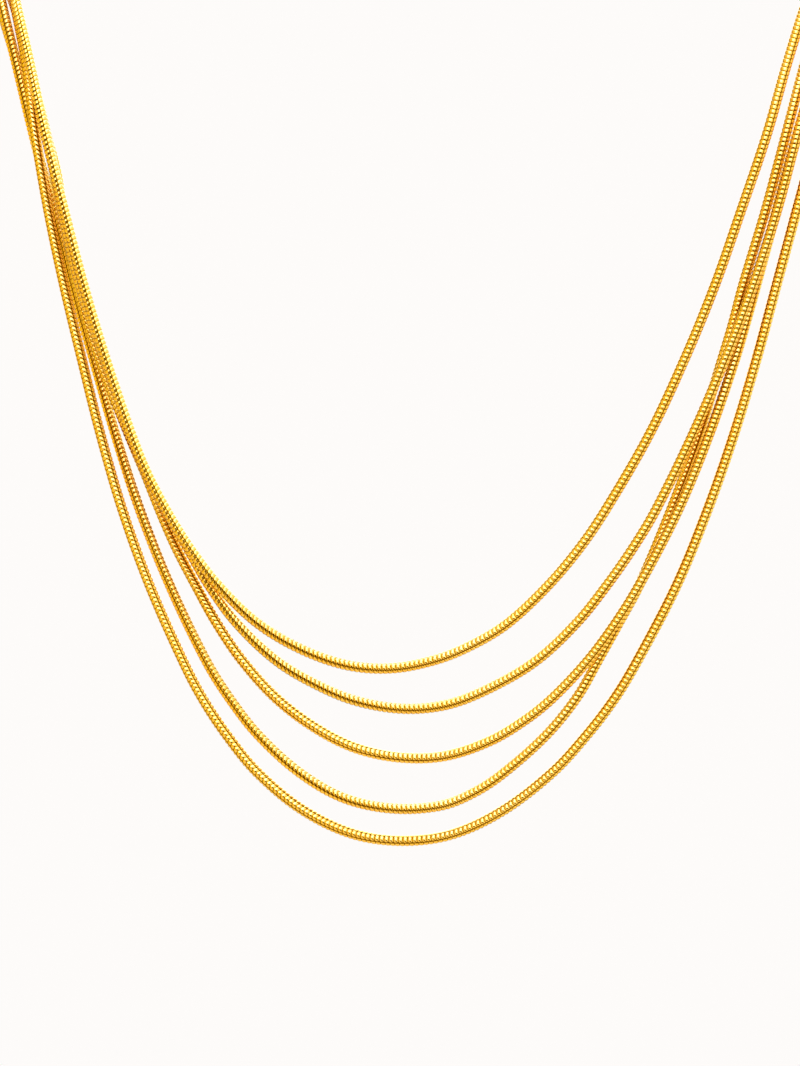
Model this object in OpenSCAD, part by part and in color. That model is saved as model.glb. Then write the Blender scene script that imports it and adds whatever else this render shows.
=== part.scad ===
// A five strand snake chain necklace, worn form: five round chains of rising length hang
// in front, and are gathered at the nape in two end caps joined by one clasp.
// Millimetres. +X is the wearer's left, +Y points backwards, +Z is up.
// The origin is the middle of the fastening at the nape, on the caps' own axis.

/* [Strands] */
// Outer diameter of each snake chain
strand_d = 1.5; // [1:0.1:1.6]
// Clear space between two strands where they are packed side by side
strand_gap = 0.16; // [0.1:0.02:0.4]
// Distance between two cross sections along a strand, where it runs straight
ring_step = 9.5; // [8.5:0.5:14]
// Millimetres of straight run that weigh as much as one degree of bend, in that distance
bend_weight = 0.4; // [0.2:0.1:0.6]

/* [End caps] */
// Depth of the cup that the five strand ends sit in
cup_depth = 5; // [3:0.5:8]
// Clear space between a strand's end and the floor of the cup
end_gap = 0.15; // [0.1:0.05:0.5]
// Thickness of the cup's wall
cup_wall = 0.45; // [0.3:0.05:1]
// Thickness of the cup's closed end
cup_floor = 1.2; // [0.8:0.1:2.5]
// Radius of the rounded edge of the closed end
cup_round = 0.9; // [0.3:0.1:1.1]

/* [Loops and clasp] */
// Thickness of the wire of the caps' loops and of the clasp's eye
wire_d = 0.9; // [0.7:0.05:1.2]
// Inner diameter of the loop soldered to each cap
loop_bore = 2.3; // [2.2:0.1:4]
// Outer diameter of the clasp's ring
clasp_d = 7; // [6.5:0.5:12]
// Thickness of the tube that the clasp's ring is bent from
clasp_tube_d = 1.8; // [1.2:0.1:1.8]
// Inner diameter of the clasp's eye
eye_bore = 1.7; // [1.6:0.1:3]
// Clear space between two linked rings, on the side where they would pull
link_gap = 0.15; // [0.1:0.05:0.3]
// How far the clasp's eye runs into its ring where the two are soldered
eye_weld = 0.6; // [0.3:0.1:0.8]

/* [Hidden] */

LEFT = -1;
RIGHT = 1;
STRANDS = 5;
STRAND_SIDES = 8;
STEPS_PER_SPAN = 8;
ROUND = 48;

// The five strands stand on a circle of this radius in the caps and round the neck
slot_r = (strand_d + strand_gap) / (2 * sin(180 / STRANDS));
// Turn of each strand's place on that circle, outwards first and then up, strand 1 first
LEFT_SLOTS = [108, -108, -36, 36, 180];
RIGHT_SLOTS = [180, 108, -36, -108, 36];

cup_r = slot_r + strand_d / 2 + strand_gap;
cap_r = cup_r + cup_wall;
cap_l = cup_depth + cup_floor;
wire_r = wire_d / 2;
loop_r = loop_bore / 2 + wire_r;
clasp_tube_r = clasp_tube_d / 2;
clasp_r = clasp_d / 2 - clasp_tube_r;
eye_r = eye_bore / 2 + wire_r;

// Along X from the centre of the clasp's ring: the eye, and the closed end of each cap
eye_x = -(clasp_d / 2 + eye_r + wire_r - eye_weld);
right_cap_x = clasp_r - clasp_tube_r - link_gap - wire_r + 2 * loop_r;
left_cap_x = eye_x - eye_r + wire_r + link_gap + wire_r - 2 * loop_r;
// The ring stands off centre, so that the mouths of the two caps lie as far left as right
clasp_x = -(left_cap_x + right_cap_x) / 2;
mouth_x = (right_cap_x - left_cap_x) / 2 + cap_l;
strand_end_x = mouth_x - cup_depth + end_gap;
// A strand runs straight for this far outside the cap's mouth
lead = 3;

// The way round the neck, from the front to the nape. Columns: x of the left bundle,
// x of the right bundle, y, z, and how loosely the left and the right one are gathered.
NECK = [
    [-55.6, 61.2, -84.5, -22.5, 1.25, 1.5],
    [-57.6, 62.2, -68.0, -16.0, 1.1, 1.2],
    [-57.4, 61.0, -51.0, -11.0, 1.06, 1.1],
    [-52.6, 55.6, -34.0, -7.0, 1.06, 1.06],
    [-43.6, 46.0, -18.8, -3.8, 1.06, 1.06],
    [-31.6, 33.4, -7.2, -1.5, 1.06, 1.06],
    [-21.0, 21.5, -1.3, -0.3, 1.04, 1.04]
];
// A point on the neck's upright axis, which the strands pass round
NECK_CENTRE = [0, -52, 0];
// Where the bundles come over the collar bones, at the top of the front stretches
LEFT_SHOULDER = [-52.6, -97.4, -31.2];
RIGHT_SHOULDER = [58.0, -97.4, -31.2];

// The upright plane that the strands hang in at the front, as a y
FRONT_Y = -105;
// The front stretch of each strand, from the left shoulder to the right one. Columns: x,
// how far it lies behind the front plane, z. Where strands run together they are packed
// side by side and behind each other, so that none touches its neighbour.
FRONT = [
    [
        [-52.0, 6.0, -30.2], [-49.7, 1.7, -39.3], [-47.2, -1.3, -50], [-44.7, -1.7, -60],
        [-42.1, -1.7, -70], [-39.1, -1.7, -80], [-35.7, -1.7, -90], [-33.7, -1.7, -95],
        [-31.1, -1.7, -100], [-28.0, -1.7, -105], [-24.2, -1.35, -110], [-19.1, -0.4, -115],
        [-13.3, 0, -118.5], [-7.0, 0, -120.7], [-1.0, 0, -121.1], [5.0, 0, -119.9],
        [10.0, 0, -117.8], [14.5, 0, -115], [19.8, 0, -110], [24.0, 0, -105],
        [27.4, 0, -100], [33.2, 0, -90], [37.9, 0, -80], [42.0, 0, -70],
        [45.5, 0, -60], [48.9, 0.5, -50], [51.9, 3.4, -40], [54.9, 7.6, -31.2]
    ],
    [
        [-52.0, 9.2, -32.2], [-49.7, 5.1, -40.7], [-47.2, 1.4, -50], [-45.1, 0, -60],
        [-42.7, 0, -70], [-39.3, 0, -80], [-35.8, 0, -90], [-33.8, 0, -95],
        [-31.2, 0, -100], [-28.35, 0, -105], [-25.5, 0, -110], [-21.85, 0, -115],
        [-16.6, 0, -120], [-11.5, 0, -123.1], [-6.0, 0, -125.4], [0.5, 0, -126.5],
        [6.5, 0, -125.9], [12.5, 0, -123.5], [18.3, 0, -120], [23.6, 0, -115],
        [27.6, 0, -110], [31.1, 0, -105], [34.1, 0, -100], [39.0, 0, -90],
        [43.3, 0, -80], [47.1, 0, -70], [50.3, 0, -60], [53.0, 0.5, -50],
        [55.9, 3.4, -40], [58.6, 7.6, -31.2]
    ],
    [
        [-53.8, 10.0, -32.8], [-51.0, 6.5, -41.3], [-47.3, 3.2, -50.2], [-45.9, 2.2, -55],
        [-45.1, 1.7, -60], [-43.1, 1.7, -70], [-40.1, 1.7, -80], [-36.2, 1.7, -90],
        [-34.1, 1.7, -95], [-32.1, 1.5, -100], [-29.9, 1.0, -105], [-27.3, 0.9, -110],
        [-24.5, 0.3, -115], [-21.1, 0, -120], [-16.6, 0, -125], [-11.5, 0, -128.9],
        [-6.0, 0, -131.7], [0.0, 0, -133], [6.0, 0, -132.8], [12.0, 0, -130.8],
        [16.7, 0, -128], [20.4, 0, -125], [25.1, 0, -120], [28.8, 0, -115],
        [31.9, 0, -110], [37.1, 0, -100], [41.2, 0, -90], [44.7, 1.0, -80],
        [46.2, 1.4, -75], [47.6, 1.6, -70], [50.3, 1.7, -60], [53.0, 2.2, -50],
        [55.9, 5.0, -40.7], [58.6, 9.1, -32.2]
    ],
    [
        [-53.8, 7.8, -31.3], [-51.4, 4.6, -40.5], [-49.0, 2.6, -50], [-47.7, 3.0, -55],
        [-46.2, 3.3, -60], [-43.75, 3.4, -70], [-41.0, 3.45, -80],
        [-38.05, 2.4, -90], [-34.7, 0.5, -100], [-30.7, 0, -110], [-25.9, 0, -120],
        [-22.8, 0, -125], [-18.9, 0, -130], [-13.4, 0, -135], [-7.5, 0, -138.4],
        [-1.0, 0, -139.8], [5.5, 0, -139.4], [10.0, 0, -137.6], [13.9, 0, -135],
        [19.5, 0, -130], [23.6, 0.5, -125], [26.5, 1.3, -120], [29.3, 1.7, -115],
        [32.0, 1.7, -110], [36.2, 1.7, -100], [39.9, 1.7, -90], [43.0, 1.7, -80],
        [44.5, 1.6, -75], [45.8, 1.2, -70], [48.8, 0.9, -60], [51.5, 1.3, -50],
        [54.2, 4.1, -40.3], [56.8, 8.3, -31.6]
    ],
    [
        [-52.0, 7.6, -31.2], [-50.1, 3.4, -40], [-48.6, 0, -50], [-46.9, 0, -60],
        [-44.8, 0, -70], [-42.4, 0, -80], [-39.9, 0, -90], [-37.0, 0, -100],
        [-33.4, 0, -110], [-29.0, 0, -120], [-26.4, 0, -125], [-23.1, 0, -130],
        [-19.0, 0, -135], [-13.1, 0, -139.9], [-6.5, 0, -143.1], [0.0, 0, -144.1],
        [6.7, 0, -143.3], [13.5, 0, -140.2], [20.3, 0, -135], [24.9, 0, -130],
        [28.7, 0, -125], [31.7, 0, -120], [36.9, 0, -110], [41.0, 0, -100],
        [44.5, 0, -90], [47.5, 0, -80], [50.2, 0, -70], [52.9, 0, -60],
        [55.6, 0.5, -50], [58.3, 3.4, -40], [61.1, 7.6, -31.2]
    ]
];

function unit(v) = v / norm(v);
function is_left(side) = side == LEFT;
function reversed(list) = [for (i = [len(list) - 1:-1:0]) list[i]];

// A strand's place across its bundle: outwards, and up
function slot(strand, side) =
    let (turn = (is_left(side) ? LEFT_SLOTS : RIGHT_SLOTS)[strand])
    slot_r * [cos(turn), sin(turn)];

// The middle of the bundle at a row of NECK, with the shoulder before the first row and
// the cap's mouth after the last
function neck_middle(row, side) =
    row < 0 ? (is_left(side) ? LEFT_SHOULDER : RIGHT_SHOULDER)
    : row >= len(NECK) ? [side * mouth_x, 0, 0]
    : [NECK[row][is_left(side) ? 0 : 1], NECK[row][2], NECK[row][3]];

// A strand's own point at a row of NECK
function neck_point(strand, row, side) =
    let (
        middle = neck_middle(row, side),
        along = unit(neck_middle(row - 1, side) - neck_middle(row + 1, side)),
        away = [middle.x - NECK_CENTRE.x, middle.y - NECK_CENTRE.y, 0],
        outwards = unit(away - (away * along) * along),
        up = side * cross(along, outwards),
        place = slot(strand, side) * NECK[row][is_left(side) ? 4 : 5]
    )
    middle + place.x * outwards + place.y * up;

// A strand's point on the straight stretch that ends in the cap
function cap_point(strand, x, side) =
    let (place = slot(strand, side))
    [side * x, place.x, place.y];

// One side of a strand that the front doesn't show, from the shoulder to the cup's floor
function back_stretch(strand, side) = concat(
    [for (row = [0:len(NECK) - 1]) neck_point(strand, row, side)],
    [for (x = [mouth_x + lead, mouth_x, strand_end_x]) cap_point(strand, x, side)]
);

function front_stretch(strand) =
    [for (p = FRONT[strand]) [p.x, FRONT_Y + p.y, p.z]];

function route(strand) = concat(
    reversed(back_stretch(strand, LEFT)), front_stretch(strand), back_stretch(strand, RIGHT)
);

// Direction of travel at point i of a route, for the smooth curve through its points
function heading(p, i) =
    let (a = max(i - 1, 0), b = min(i + 1, len(p) - 1))
    (p[b] - p[a]) / ((i > a ? norm(p[i] - p[a]) : 0) + (b > i ? norm(p[b] - p[i]) : 0));

// Point at share t of the span that starts at point i, on a cubic curve
function on_span(p, i, t) =
    let (
        span = norm(p[i + 1] - p[i]),
        leave = p[i] + heading(p, i) * span / 3,
        arrive = p[i + 1] - heading(p, i + 1) * span / 3
    )
    pow(1 - t, 3) * p[i] + 3 * t * pow(1 - t, 2) * leave
    + 3 * pow(t, 2) * (1 - t) * arrive + pow(t, 3) * p[i + 1];

function smooth(p) = concat(
    [for (i = [0:len(p) - 2], k = [0:STEPS_PER_SPAN - 1]) on_span(p, i, k / STEPS_PER_SPAN)],
    [p[len(p) - 1]]
);

// Degrees that a line of points bends by at point i
function bend(p, i) =
    i < 1 || i > len(p) - 2 ? 0
    : acos(min(1, unit(p[i] - p[i - 1]) * unit(p[i + 1] - p[i])));

// Way gone along a line of points up to each of them, with its bends weighed in
function way_gone(p) =
    [for (i = 0, s = 0; i < len(p);
        i = i + 1, s = s + (i < len(p) ? norm(p[i] - p[i - 1]) + bend_weight * bend(p, i) : 0)) s];

// The places of a strand's cross sections: evenly spread, and closer together in a bend
function sections(p) =
    let (
        s = way_gone(p),
        whole = s[len(s) - 1],
        count = round(whole / ring_step),
        table = [for (axis = [0:2]) [for (i = [0:len(p) - 1]) [s[i], p[i][axis]]]]
    )
    [for (k = [0:count]) [for (axis = [0:2]) lookup(whole * k / count, table[axis])]];

// A direction that no stretch of any strand runs along
SIDEWAYS = [0, 0.85, -0.53];

// The corners of one cross section of a tube, square to the way it runs
function tube_ring(p, i) =
    let (
        along = unit(p[min(i + 1, len(p) - 1)] - p[max(i - 1, 0)]),
        u = unit(cross(along, SIDEWAYS)),
        v = cross(along, u)
    )
    [for (k = [0:STRAND_SIDES - 1])
        let (turn = 360 * (k + 0.5) / STRAND_SIDES)
        p[i] + strand_d / 2 * (cos(turn) * u + sin(turn) * v)];

// Two triangles for each side of each stretch between cross sections, and the two ends
function tube_faces(rings) =
    let (n = STRAND_SIDES, last = (rings - 1) * n)
    concat(
        [for (i = [0:rings - 2], k = [0:n - 1])
            let (a = i * n + k, b = i * n + (k + 1) % n)
            each [[a, a + n, b], [b, a + n, b + n]]],
        [[for (k = [0:n - 1]) k]],
        [[for (k = [n - 1:-1:0]) last + k]]
    );

module strand(index) {
    line = sections(smooth(route(index)));
    corners = [for (i = [0:len(line) - 1]) each tube_ring(line, i)];
    color("gold") polyhedron(points = corners, faces = tube_faces(len(line)), convexity = 10);
}

// A ring bent from round wire, standing on the Z axis
module wire_ring(centre_r, thickness) {
    rotate_extrude($fn = ROUND) translate([centre_r, 0]) circle(d = thickness, $fn = ROUND);
}

// Half of the cup's cross section, with the mouth at the bottom
module cup_outline() {
    difference() {
        union() {
            square([cap_r, cap_l - cup_round]);
            square([cap_r - cup_round, cap_l]);
            translate([cap_r - cup_round, cap_l - cup_round]) circle(r = cup_round, $fn = ROUND);
        }
        square([cup_r, cup_depth]);
    }
}

// The cup stands on its mouth, with its loop soldered on top
module end_cap() {
    rotate_extrude($fn = ROUND) cup_outline();
    translate([0, 0, cap_l + loop_r]) rotate([90, 0, 0]) wire_ring(loop_r, wire_d);
}

// Lays a cap along X with its mouth outwards
module end_cap_placed(side) {
    mirror([is_left(side) ? 1 : 0, 0, 0])
        translate([mouth_x, 0, 0])
        rotate([90, 0, 90])
        mirror([0, 0, 1])
        color("goldenrod") end_cap();
}

// The clasp lies flat against the neck: a ring with a small eye soldered to it
module clasp() {
    color("goldenrod") translate([clasp_x, 0, 0]) rotate([90, 0, 0]) union() {
        wire_ring(clasp_r, clasp_tube_d);
        translate([eye_x, 0, 0]) wire_ring(eye_r, wire_d);
    }
}

strand(0);  // strand_1
strand(1);  // strand_2
strand(2);  // strand_3
strand(3);  // strand_4
strand(4);  // strand_5
end_cap_placed(LEFT);  // end_cap_left
end_cap_placed(RIGHT);  // end_cap_right
clasp();
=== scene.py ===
# A multi strand necklace in its worn form: five round snake chains that hang in front, two end caps and a
# clasp. Metres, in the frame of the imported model: +X is the wearer's left, +Y is backwards, +Z is up.
import math

import bmesh
import bpy
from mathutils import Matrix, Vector


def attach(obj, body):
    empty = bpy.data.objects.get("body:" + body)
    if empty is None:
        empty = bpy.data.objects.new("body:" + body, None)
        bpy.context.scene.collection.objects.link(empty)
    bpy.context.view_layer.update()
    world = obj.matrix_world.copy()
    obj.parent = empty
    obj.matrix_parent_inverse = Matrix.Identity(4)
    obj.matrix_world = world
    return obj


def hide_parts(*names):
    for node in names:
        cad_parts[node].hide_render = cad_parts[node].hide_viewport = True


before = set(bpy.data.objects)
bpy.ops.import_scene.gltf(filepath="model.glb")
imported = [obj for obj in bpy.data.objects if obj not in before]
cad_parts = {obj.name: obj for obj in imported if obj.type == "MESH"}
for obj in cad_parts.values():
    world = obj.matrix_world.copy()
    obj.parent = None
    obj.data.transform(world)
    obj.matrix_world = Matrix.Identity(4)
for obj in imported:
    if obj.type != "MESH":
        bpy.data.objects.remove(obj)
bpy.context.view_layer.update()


# The camera. The photo was taken level and straight on with a long lens, so the camera stands 700 mm in
# front of the upright plane that the strands hang in. There 7.5 photo pixels are a millimetre.
FRONT_Y = -0.105
PHOTO_HEIGHT_PX = 1066
PX = 0.001 / 7.5
PHOTO_TOP_Z = -0.032
CAMERA_AWAY = 0.7
SENSOR = 36

camera_data = bpy.data.cameras.new("camera")
camera_data.sensor_width = SENSOR
camera_data.lens = SENSOR * CAMERA_AWAY / (PHOTO_HEIGHT_PX * PX)
camera = bpy.data.objects.new("camera", camera_data)
camera.location = (0, FRONT_Y - CAMERA_AWAY, PHOTO_TOP_Z - PHOTO_HEIGHT_PX * PX / 2)
camera.rotation_euler = (math.radians(90), 0, 0)
bpy.context.scene.collection.objects.link(camera)
bpy.context.scene.camera = camera


# The five strands. Each is a round snake chain: a long row of small wavy rings, stamped from thin brass
# sheet, domed on the outside and plated with yellow gold. Each ring sits a little way in the next one, so
# the chain bends and turns but does not stretch. Its two ends are soldered into the end caps.
STRANDS = 5
STRAND_D = 0.0015
STRAND_GAP = 0.00016

# The way round the neck, from the front to the nape. Columns: x of the left bundle, x of the right bundle,
# y, z, and how loosely the left and the right one are gathered.
NECK = [
    (-0.0556, 0.0612, -0.0845, -0.0225, 1.25, 1.5),
    (-0.0576, 0.0622, -0.0680, -0.0160, 1.1, 1.2),
    (-0.0574, 0.0610, -0.0510, -0.0110, 1.06, 1.1),
    (-0.0526, 0.0556, -0.0340, -0.0070, 1.06, 1.06),
    (-0.0436, 0.0460, -0.0188, -0.0038, 1.06, 1.06),
    (-0.0316, 0.0334, -0.0072, -0.0015, 1.06, 1.06),
    (-0.0210, 0.0215, -0.0013, -0.0003, 1.04, 1.04),
]
NECK_CENTRE = Vector((0, -0.052, 0))
LEFT_SHOULDER = Vector((-0.0526, -0.0974, -0.0312))
RIGHT_SHOULDER = Vector((0.0580, -0.0974, -0.0312))
CUP_MOUTH_X = 0.0124
STRAND_END_X = 0.00755
CAP_LEAD = 0.003
LEFT, RIGHT = -1, 1

# Each strand's place in its bundle, as a turn in degrees from outwards, through up
SLOTS = {LEFT: (108, -108, -36, 36, 180), RIGHT: (180, 108, -36, -108, 36)}
SLOT_R = (STRAND_D + STRAND_GAP) / (2 * math.sin(math.radians(180 / STRANDS)))

# The front stretch of each strand, from the left shoulder to the right one, the shortest strand first.
# Columns: x, how far it lies behind the front plane, z.
FRONT = [
    [
        (-0.052, 0.006, -0.0302), (-0.0497, 0.0017, -0.0393), (-0.0472, -0.0013, -0.05),
        (-0.0447, -0.0017, -0.06), (-0.0421, -0.0017, -0.07), (-0.0391, -0.0017, -0.08),
        (-0.0357, -0.0017, -0.09), (-0.0337, -0.0017, -0.095), (-0.0311, -0.0017, -0.1),
        (-0.028, -0.0017, -0.105), (-0.0242, -0.00135, -0.11), (-0.0191, -0.0004, -0.115),
        (-0.0133, 0.0, -0.1185), (-0.007, 0.0, -0.1207), (-0.001, 0.0, -0.1211), (0.005, 0.0, -0.1199),
        (0.01, 0.0, -0.1178), (0.0145, 0.0, -0.115), (0.0198, 0.0, -0.11), (0.024, 0.0, -0.105),
        (0.0274, 0.0, -0.1), (0.0332, 0.0, -0.09), (0.0379, 0.0, -0.08), (0.042, 0.0, -0.07),
        (0.0455, 0.0, -0.06), (0.0489, 0.0005, -0.05), (0.0519, 0.0034, -0.04), (0.0549, 0.0076, -0.0312),
    ],
    [
        (-0.052, 0.0092, -0.0322), (-0.0497, 0.0051, -0.0407), (-0.0472, 0.0014, -0.05),
        (-0.0451, 0.0, -0.06), (-0.0427, 0.0, -0.07), (-0.0393, 0.0, -0.08), (-0.0358, 0.0, -0.09),
        (-0.0338, 0.0, -0.095), (-0.0312, 0.0, -0.1), (-0.02835, 0.0, -0.105), (-0.0255, 0.0, -0.11),
        (-0.02185, 0.0, -0.115), (-0.0166, 0.0, -0.12), (-0.0115, 0.0, -0.1231), (-0.006, 0.0, -0.1254),
        (0.0005, 0.0, -0.1265), (0.0065, 0.0, -0.1259), (0.0125, 0.0, -0.1235), (0.0183, 0.0, -0.12),
        (0.0236, 0.0, -0.115), (0.0276, 0.0, -0.11), (0.0311, 0.0, -0.105), (0.0341, 0.0, -0.1),
        (0.039, 0.0, -0.09), (0.0433, 0.0, -0.08), (0.0471, 0.0, -0.07), (0.0503, 0.0, -0.06),
        (0.053, 0.0005, -0.05), (0.0559, 0.0034, -0.04), (0.0586, 0.0076, -0.0312),
    ],
    [
        (-0.0538, 0.01, -0.0328), (-0.051, 0.0065, -0.0413), (-0.0473, 0.0032, -0.0502),
        (-0.0459, 0.0022, -0.055), (-0.0451, 0.0017, -0.06), (-0.0431, 0.0017, -0.07),
        (-0.0401, 0.0017, -0.08), (-0.0362, 0.0017, -0.09), (-0.0341, 0.0017, -0.095),
        (-0.0321, 0.0015, -0.1), (-0.0299, 0.001, -0.105), (-0.0273, 0.0009, -0.11),
        (-0.0245, 0.0003, -0.115), (-0.0211, 0.0, -0.12), (-0.0166, 0.0, -0.125), (-0.0115, 0.0, -0.1289),
        (-0.006, 0.0, -0.1317), (0.0, 0.0, -0.133), (0.006, 0.0, -0.1328), (0.012, 0.0, -0.1308),
        (0.0167, 0.0, -0.128), (0.0204, 0.0, -0.125), (0.0251, 0.0, -0.12), (0.0288, 0.0, -0.115),
        (0.0319, 0.0, -0.11), (0.0371, 0.0, -0.1), (0.0412, 0.0, -0.09), (0.0447, 0.001, -0.08),
        (0.0462, 0.0014, -0.075), (0.0476, 0.0016, -0.07), (0.0503, 0.0017, -0.06), (0.053, 0.0022, -0.05),
        (0.0559, 0.005, -0.0407), (0.0586, 0.0091, -0.0322),
    ],
    [
        (-0.0538, 0.0078, -0.0313), (-0.0514, 0.0046, -0.0405), (-0.049, 0.0026, -0.05),
        (-0.0477, 0.003, -0.055), (-0.0462, 0.0033, -0.06), (-0.04375, 0.0034, -0.07),
        (-0.041, 0.00345, -0.08), (-0.03805, 0.0024, -0.09), (-0.0347, 0.0005, -0.1),
        (-0.0307, 0.0, -0.11), (-0.0259, 0.0, -0.12), (-0.0228, 0.0, -0.125), (-0.0189, 0.0, -0.13),
        (-0.0134, 0.0, -0.135), (-0.0075, 0.0, -0.1384), (-0.001, 0.0, -0.1398), (0.0055, 0.0, -0.1394),
        (0.01, 0.0, -0.1376), (0.0139, 0.0, -0.135), (0.0195, 0.0, -0.13), (0.0236, 0.0005, -0.125),
        (0.0265, 0.0013, -0.12), (0.0293, 0.0017, -0.115), (0.032, 0.0017, -0.11), (0.0362, 0.0017, -0.1),
        (0.0399, 0.0017, -0.09), (0.043, 0.0017, -0.08), (0.0445, 0.0016, -0.075), (0.0458, 0.0012, -0.07),
        (0.0488, 0.0009, -0.06), (0.0515, 0.0013, -0.05), (0.0542, 0.0041, -0.0403),
        (0.0568, 0.0083, -0.0316),
    ],
    [
        (-0.052, 0.0076, -0.0312), (-0.0501, 0.0034, -0.04), (-0.0486, 0.0, -0.05), (-0.0469, 0.0, -0.06),
        (-0.0448, 0.0, -0.07), (-0.0424, 0.0, -0.08), (-0.0399, 0.0, -0.09), (-0.037, 0.0, -0.1),
        (-0.0334, 0.0, -0.11), (-0.029, 0.0, -0.12), (-0.0264, 0.0, -0.125), (-0.0231, 0.0, -0.13),
        (-0.019, 0.0, -0.135), (-0.0131, 0.0, -0.1399), (-0.0065, 0.0, -0.1431), (0.0, 0.0, -0.1441),
        (0.0067, 0.0, -0.1433), (0.0135, 0.0, -0.1402), (0.0203, 0.0, -0.135), (0.0249, 0.0, -0.13),
        (0.0287, 0.0, -0.125), (0.0317, 0.0, -0.12), (0.0369, 0.0, -0.11), (0.041, 0.0, -0.1),
        (0.0445, 0.0, -0.09), (0.0475, 0.0, -0.08), (0.0502, 0.0, -0.07), (0.0529, 0.0, -0.06),
        (0.0556, 0.0005, -0.05), (0.0583, 0.0034, -0.04), (0.0611, 0.0076, -0.0312),
    ],
]


def slot(strand, side):
    turn = math.radians(SLOTS[side][strand])
    return SLOT_R * math.cos(turn), SLOT_R * math.sin(turn)


def bundle_middle(row, side):
    if row < 0:
        return LEFT_SHOULDER if side == LEFT else RIGHT_SHOULDER
    if row >= len(NECK):
        return Vector((side * CUP_MOUTH_X, 0, 0))
    left_x, right_x, y, z = NECK[row][:4]
    return Vector((left_x if side == LEFT else right_x, y, z))


def neck_point(strand, row, side):
    middle = bundle_middle(row, side)
    along = (bundle_middle(row - 1, side) - bundle_middle(row + 1, side)).normalized()
    away = Vector((middle.x - NECK_CENTRE.x, middle.y - NECK_CENTRE.y, 0))
    outwards = (away - away.dot(along) * along).normalized()
    up = side * along.cross(outwards)
    out, rise = slot(strand, side)
    left_loose, right_loose = NECK[row][4:]
    loose = left_loose if side == LEFT else right_loose
    return middle + out * loose * outwards + rise * loose * up


def back_stretch(strand, side):
    out, rise = slot(strand, side)
    round_neck = [neck_point(strand, row, side) for row in range(len(NECK))]
    into_cap = [Vector((side * x, out, rise)) for x in (CUP_MOUTH_X + CAP_LEAD, CUP_MOUTH_X, STRAND_END_X)]
    return round_neck + into_cap


def strand_route(strand):
    front = [Vector((x, FRONT_Y + behind, z)) for x, behind, z in FRONT[strand]]
    return back_stretch(strand, LEFT)[::-1] + front + back_stretch(strand, RIGHT)


# A chain twists a little as it hangs. Columns: roll at the left, at the bottom and at the right, in degrees.
ROLLS = [
    (-50, -25, -20),
    (-50, -25, -20),
    (25, -15, -15),
    (-20, -25, -20),
    (15, -20, -15),
]
ROLLS_OVER_X = 0.03


def roll_at(x, rolls):
    left, bottom, right = (math.radians(roll) for roll in rolls)
    end = left if x < 0 else right
    return bottom + (end - bottom) * min(abs(x) / ROLLS_OVER_X, 1)


# The chain's centre line, as a smooth curve through its route's points. At each point it heads from the one
# before towards the one after, and its handles reach a third of the way to them.
CURVE_STEPS = 24


def centre_line(name, points, rolls):
    data = bpy.data.curves.new(name, "CURVE")
    data.dimensions = "3D"
    data.resolution_u = CURVE_STEPS
    data.twist_mode = "MINIMUM"
    spline = data.splines.new("BEZIER")
    spline.bezier_points.add(len(points) - 1)
    last = len(points) - 1
    for i, knot in enumerate(spline.bezier_points):
        before, after = points[max(i - 1, 0)], points[min(i + 1, last)]
        heading = (after - before) / ((points[i] - before).length + (after - points[i]).length)
        knot.co = points[i]
        knot.handle_left_type = knot.handle_right_type = "FREE"
        knot.handle_left = points[i] - heading * (points[i] - before).length / 3
        knot.handle_right = points[i] + heading * (after - points[i]).length / 3
        knot.tilt = roll_at(points[i].x, rolls)
    line = bpy.data.objects.new(name, data)
    bpy.context.scene.collection.objects.link(line)
    return line


def clear_selection():
    bpy.ops.object.select_all(action="DESELECT")


def select_corners(mesh_object, test):
    mesh = bmesh.from_edit_mesh(mesh_object.data)
    for corner in mesh.verts:
        corner.select = test(corner.co)
    mesh.select_flush(True)
    mesh.select_flush_mode()
    bmesh.update_edit_mesh(mesh_object.data)


# One ring, with its axis along X: a wavy band, domed along its width and pinched into four lobes. Columns of
# the rows: place along the axis as a share of the pitch, radius as a share of the strand's radius. Columns
# of the sides: turn in degrees, radius as a share of its row's. The lobes repeat the sides listed, and the
# wave's height is a share of the pitch.
LINK_PITCH = 0.00063
LINK_ROWS = [(-0.5, 0.85), (-0.28, 0.96), (0, 1.0), (0.28, 0.96), (0.5, 0.85)]
LOBES = 4
LOBE_TURN = 360 / LOBES
LOBE_SIDES = [(0, 1.0), (30, 0.95), (45, 0.86), (60, 0.95)]
LINK_SIDES = LOBES * len(LOBE_SIDES)
WAVE = 0.27
WAVE_CRESTS = 2
SAME_RAY_COSINE = 0.999

# How deep each corner of a ring lies in a seam, which sets how much painted shade the gold's colour gets
# there: in the grooves between the lobes and at the ring's two edges. A corner is in a groove within so many
# degrees of it, and at an edge from that share of the way to it on.
SEAM_IN_GROOVE = 1.0
SEAM_AT_EDGE = 0.85
GROOVE_WITHIN = 1
EDGE_FROM = 0.98


def mark_seam_shade(link):
    edge = max(LINK_ROWS)[0] * LINK_PITCH
    seam_shade = link.data.attributes.new("seam_shade", "FLOAT", "POINT")
    for corner, mark in zip(link.data.vertices, seam_shade.data):
        turn = math.degrees(math.atan2(corner.co.z, corner.co.y)) % LOBE_TURN
        at_edge = SEAM_AT_EDGE if abs(corner.co.x) > EDGE_FROM * edge else 0.0
        mark.value = SEAM_IN_GROOVE if abs(turn - LOBE_TURN / 2) < GROOVE_WITHIN else at_edge


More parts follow.
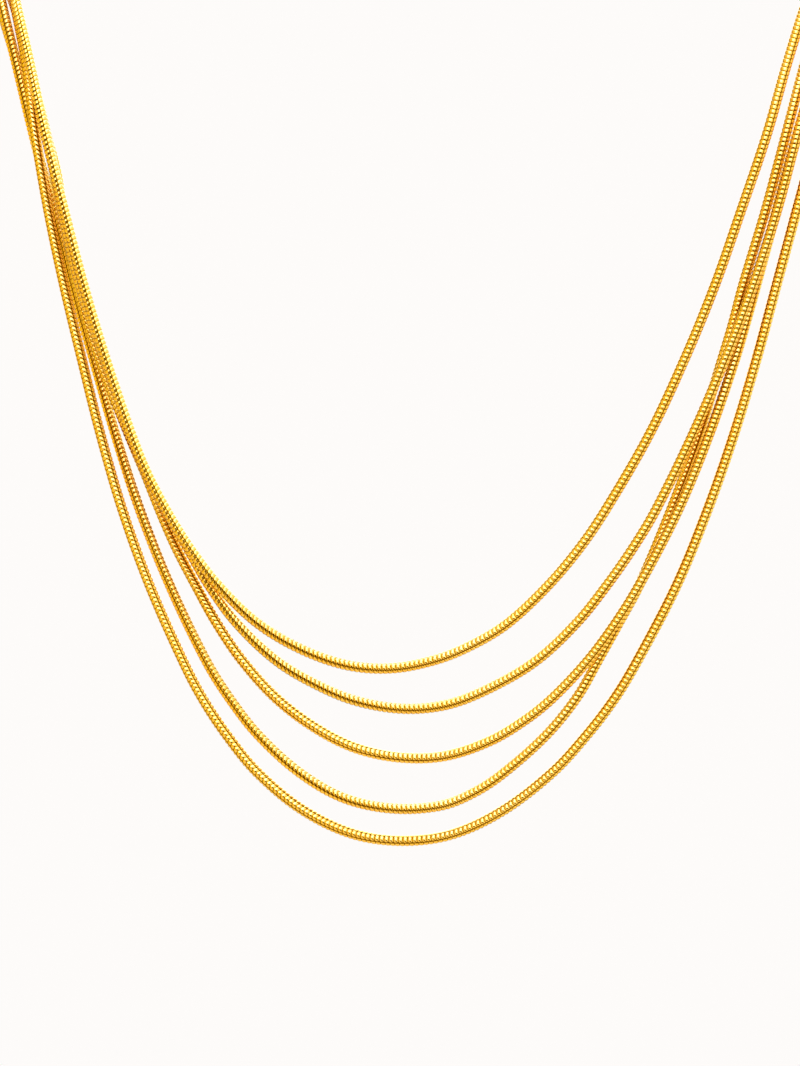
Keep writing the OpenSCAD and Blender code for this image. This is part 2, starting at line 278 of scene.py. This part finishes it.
def make_link():
    clear_selection()
    first_x, first_r = LINK_ROWS[0]
    bpy.ops.mesh.primitive_circle_add(
        vertices=LINK_SIDES, radius=STRAND_D / 2 * first_r, location=(first_x * LINK_PITCH, 0, 0),
        rotation=(0, math.radians(90), 0))
    link = bpy.context.object
    link.name = "link"
    bpy.ops.object.transform_apply(location=True, rotation=True, scale=True)
    bpy.ops.object.mode_set(mode="EDIT")
    bpy.ops.mesh.select_all(action="SELECT")
    for (x0, r0), (x1, r1) in zip(LINK_ROWS, LINK_ROWS[1:]):
        bpy.ops.mesh.extrude_region_move(TRANSFORM_OT_translate={"value": ((x1 - x0) * LINK_PITCH, 0, 0)})
        bpy.ops.transform.resize(value=(1, r1 / r0, r1 / r0), center_override=(x1 * LINK_PITCH, 0, 0))
    bpy.ops.mesh.select_all(action="SELECT")
    bpy.ops.mesh.normals_make_consistent(inside=False)
    bpy.ops.object.mode_set(mode="OBJECT")
    mark_seam_shade(link)
    bpy.ops.object.mode_set(mode="EDIT")
    # the lobes and the wave: the ring rises at two opposite lobes and sinks at the two between
    for side in range(LINK_SIDES):
        even_turn = 2 * math.pi * side / LINK_SIDES
        lobe, place = divmod(side, len(LOBE_SIDES))
        side_turn, reach = LOBE_SIDES[place]
        turn = math.radians(side_turn + LOBE_TURN * lobe)
        ray = Vector((0, math.cos(even_turn), math.sin(even_turn)))
        select_corners(link, lambda co: Vector((0, co.y, co.z)).normalized().dot(ray) > SAME_RAY_COSINE)
        bpy.ops.transform.rotate(value=even_turn - turn, orient_axis="X", center_override=(0, 0, 0))
        bpy.ops.transform.resize(value=(1, reach, reach), center_override=(0, 0, 0))
        bpy.ops.transform.translate(value=(WAVE * LINK_PITCH * math.cos(WAVE_CRESTS * turn), 0, 0))
    bpy.ops.object.mode_set(mode="OBJECT")
    return link


class Signal:
    """A value in a material's node tree. Its operators add Math nodes, and make() adds any other node."""

    def __init__(self, tree, socket=None):
        self.tree = tree
        self.socket = socket

    def make(self, kind, settings=(), sockets=(), output=0):
        node = self.tree.nodes.new(kind)
        for name, value in dict(settings).items():
            setattr(node, name, value)
        for name, value in dict(sockets).items():
            if isinstance(value, Signal):
                self.tree.links.new(value.socket, node.inputs[name])
            else:
                node.inputs[name].default_value = value
        return Signal(self.tree, node.outputs[output] if node.outputs else None)

    def maths(self, operation, *values):
        return self.make("ShaderNodeMath", {"operation": operation}, dict(enumerate(values)))

    def __add__(self, other):
        return self.maths("ADD", self, other)

    def __mul__(self, other):
        return self.maths("MULTIPLY", self, other)

    def __neg__(self):
        return self.maths("MULTIPLY", self, -1.0)

    def __abs__(self):
        return self.maths("ABSOLUTE", self)

    __radd__ = __add__
    __rmul__ = __mul__


def new_material(name):
    material = bpy.data.materials.new(name)
    material.use_nodes = True
    tree = material.node_tree
    tree.nodes.clear()
    return material, Signal(tree)


# 0 below the low value, 1 above the high one, and a soft rise between them
def ramp(value, low, high):
    return value.make("ShaderNodeMapRange", {"interpolation_type": "SMOOTHSTEP"},
                      {"Value": value, "From Min": low, "From Max": high}, output="Result")


def blend(share, first, second):
    return share.make("ShaderNodeMix", {"data_type": "RGBA"}, {"Factor": share, "A": first, "B": second},
                      output="Result")


# The gold plate: bright yellow on the crests, with painted shade towards the seams: a deeper gold where the
# rings face each other, and a painted brown shade down in the seams. Soft clouds, some 8 mm across, vary its
# colour and its polish a little. Pairs: where on the seam's or the cloud's scale of 0 to 1 the change
# starts, and where it is full.
GOLD = (1.0, 0.72, 0.27, 1)
GOLD_DEEP_SHADE_AND_TONE = (0.94, 0.54, 0.04, 1)
SEAM_PAINTED_SHADE = (0.08, 0.022, 0.0003, 1)
DEEP_SHADE_IN_SEAM = (0.1, 0.5)
PAINTED_SHADE_IN_SEAM = (0.35, 0.9)
PAINTED_SHADE_SHARE = 0.92
CLOUD_SCALE = 120.0
CLOUD_DETAIL = 3.0
DEEP_IN_CLOUD = (0.35, 0.65)
CLOUD_SHARE = 0.3
ROUGHNESS = 0.07
CLOUD_ROUGHNESS = 0.1


def polished_gold(name):
    material, start = new_material(name)
    place = start.make("ShaderNodeTexCoord", output="Object")
    cloud = start.make("ShaderNodeTexNoise", {"noise_dimensions": "3D"},
                       {"Vector": place, "Scale": CLOUD_SCALE, "Detail": CLOUD_DETAIL}, output="Fac")
    seam_shade = start.make("ShaderNodeAttribute", {"attribute_name": "seam_shade"}, output="Fac")
    # painted shade: the gold turns deeper towards the seams, mixed with a random cloud tone of the plating
    shade_and_tone = ramp(seam_shade, *DEEP_SHADE_IN_SEAM) + ramp(cloud, *DEEP_IN_CLOUD) * CLOUD_SHARE
    colour = blend(shade_and_tone, GOLD, GOLD_DEEP_SHADE_AND_TONE)
    # painted shade: a dark brown shade is painted down in the seams and grooves
    colour = blend(ramp(seam_shade, *PAINTED_SHADE_IN_SEAM) * PAINTED_SHADE_SHARE, colour, SEAM_PAINTED_SHADE)
    gold = start.make("ShaderNodeBsdfPrincipled", (), {
        "Base Color": colour, "Metallic": 1.0, "Roughness": cloud * CLOUD_ROUGHNESS + ROUGHNESS})
    start.make("ShaderNodeOutputMaterial", (), {"Surface": gold})
    return material


# A ring's copies stand in a row, which is bent along the strand's centre line. They are merged where they
# meet and the two ends are filled, so a chain is one closed skin, and the creases between its rings stay.
RINGS_MEET = 2e-6
SMOOTH_BELOW = math.radians(40)

chain_gold = polished_gold("chain_gold")
link = make_link()
for strand in range(STRANDS):
    line = centre_line(f"centre_line_{strand + 1}", strand_route(strand), ROLLS[strand])
    length = sum(spline.calc_length() for spline in line.data.splines)
    count = round(length / LINK_PITCH)
    clear_selection()
    link.select_set(True)
    bpy.context.view_layer.objects.active = link
    bpy.ops.object.duplicate()
    chain = bpy.context.object
    chain.name = f"chain_{strand + 1}"
    row = chain.modifiers.new("row", "ARRAY")
    row.fit_type = "FIXED_COUNT"
    row.count = count
    row.use_relative_offset = False
    row.use_constant_offset = True
    row.constant_offset_displace = (length / count, 0, 0)
    run = chain.modifiers.new("run", "CURVE")
    run.object = line
    run.deform_axis = "POS_X"
    bpy.ops.object.modifier_apply(modifier="row")
    bpy.ops.object.modifier_apply(modifier="run")
    bpy.data.objects.remove(line)
    bpy.ops.object.mode_set(mode="EDIT")
    bpy.ops.mesh.select_all(action="SELECT")
    bpy.ops.mesh.remove_doubles(threshold=RINGS_MEET)
    bpy.ops.mesh.fill_holes(sides=LINK_SIDES)
    bpy.ops.mesh.normals_make_consistent(inside=False)
    bpy.ops.object.mode_set(mode="OBJECT")
    bpy.ops.object.shade_smooth_by_angle(angle=SMOOTH_BELOW)
    chain.data.materials.clear()
    chain.data.materials.append(chain_gold)
    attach(chain, "root")
    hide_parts(f"strand_{strand + 1}")
bpy.data.objects.remove(link)


# The end caps. Each is a plain round cup of turned brass, gold plated, with a loop soldered to its closed
# end. The five strands of one side are soldered into its mouth. Their solids are right as they are.
plain_gold = polished_gold("plain_gold")
for side in ("left", "right"):
    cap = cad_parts[f"end_cap_{side}"]
    cap.data.materials.clear()
    cap.data.materials.append(plain_gold)


# The clasp. A plain ring of round brass wire with a small eye soldered to it, gold plated. It is linked
# through the two caps' loops. Its solid is right as it is.
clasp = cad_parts["clasp"]
clasp.data.materials.clear()
clasp.data.materials.append(plain_gold)


# The studio. A plain pale floor lies well below the necklace, and a plain pale wall is all round. The
# polished gold mirrors a warm room, the same in front as behind: a round lamp and a lamp overhead, a bright
# right side and an orange left one, and two dark patches low down in front.
FLOOR_Z = -0.9
FLOOR_SIZE = 12
FLOOR_CUTS = 3
FLOOR_COLOUR = (0.93, 0.92, 0.91, 1)
FLOOR_ROUGHNESS = 0.8
WALL_COLOUR = (0.985, 0.965, 0.95, 1)

# The room's colours. Pairs: where a change starts and where it is full, on the Z part of a direction of
# length 1, and for the overhead lamp's left and right edges on its X part and on minus that part
ROOM_LOW = (1.05, 0.84, 0.34, 1)
ROOM_HIGH = (0.95, 0.73, 0.22, 1)
ROOM_RISE = (-0.8, 0.1)
OVERHEAD_COLOUR = (4.0, 3.9, 3.8, 1)
OVERHEAD_UP = (0.6, 0.8)
OVERHEAD_LEFT = (-0.35, -0.15)
OVERHEAD_RIGHT = (-0.55, -0.35)

# Columns: towards, cosine at the patch's edge, cosine where it is full, colour
ROOM_PATCHES = [
    ((0.45, -0.85, -0.35), 0.82, 0.96, (0.18, 0.08, 0.0, 1)),
    ((0.85, -0.5, 0.15), 0.6, 0.9, (1.3, 1.15, 0.7, 1)),
    ((-0.9, -0.4, -0.1), 0.75, 0.95, (1.05, 0.74, 0.03, 1)),
    ((0, -1, -0.2), 0.90, 0.975, (0.06, 0.02, 0.0, 1)),
    ((0.05, -0.85, 0.5), 0.82, 0.91, (2.4, 2.35, 2.3, 1)),
]

clear_selection()
bpy.ops.mesh.primitive_plane_add(size=FLOOR_SIZE, location=(0, 0, FLOOR_Z))
floor = bpy.context.object
floor.name = "floor"
bpy.ops.object.mode_set(mode="EDIT")
bpy.ops.mesh.subdivide(number_cuts=FLOOR_CUTS)
bpy.ops.object.mode_set(mode="OBJECT")
bpy.ops.object.transform_apply(location=True, rotation=True, scale=True)
floor_paint, start = new_material("floor_paint")
paint = start.make("ShaderNodeBsdfPrincipled", (), {
    "Base Color": FLOOR_COLOUR, "Roughness": FLOOR_ROUGHNESS})
start.make("ShaderNodeOutputMaterial", (), {"Surface": paint})
floor.data.materials.append(floor_paint)
floor.visible_glossy = False

world = bpy.data.worlds.new("studio")
bpy.context.scene.world = world
world.use_nodes = True
world.node_tree.nodes.clear()
sky = Signal(world.node_tree)
mirrored = sky.make("ShaderNodeLightPath", output="Is Glossy Ray")
direction = sky.make("ShaderNodeTexCoord", output="Generated")
across = sky.make("ShaderNodeSeparateXYZ", (), {"Vector": direction}, output="X")
back = sky.make("ShaderNodeSeparateXYZ", (), {"Vector": direction}, output="Y")
up = sky.make("ShaderNodeSeparateXYZ", (), {"Vector": direction}, output="Z")
in_front = sky.make("ShaderNodeCombineXYZ", (), {"X": across, "Y": -abs(back), "Z": up}, output="Vector")

room = blend(ramp(up, *ROOM_RISE), ROOM_LOW, ROOM_HIGH)
for towards, edge, full, colour in ROOM_PATCHES:
    aim = tuple(Vector(towards).normalized())
    nearness = sky.make("ShaderNodeVectorMath", {"operation": "DOT_PRODUCT"}, {0: in_front, 1: aim},
                        output="Value")
    room = blend(ramp(nearness, edge, full), room, colour)
overhead = ramp(up, *OVERHEAD_UP) * ramp(across, *OVERHEAD_LEFT) * ramp(-across, *OVERHEAD_RIGHT)
room = blend(overhead, room, OVERHEAD_COLOUR)
wall_light = sky.make("ShaderNodeBackground", (), {"Color": WALL_COLOUR, "Strength": 1.0})
room_light = sky.make("ShaderNodeBackground", (), {"Color": room, "Strength": 1.0})
light = sky.make("ShaderNodeMixShader", (), {0: mirrored, 1: wall_light, 2: room_light})
sky.make("ShaderNodeOutputWorld", (), {"Surface": light})
bpy.context.scene.view_settings.view_transform = "Standard"
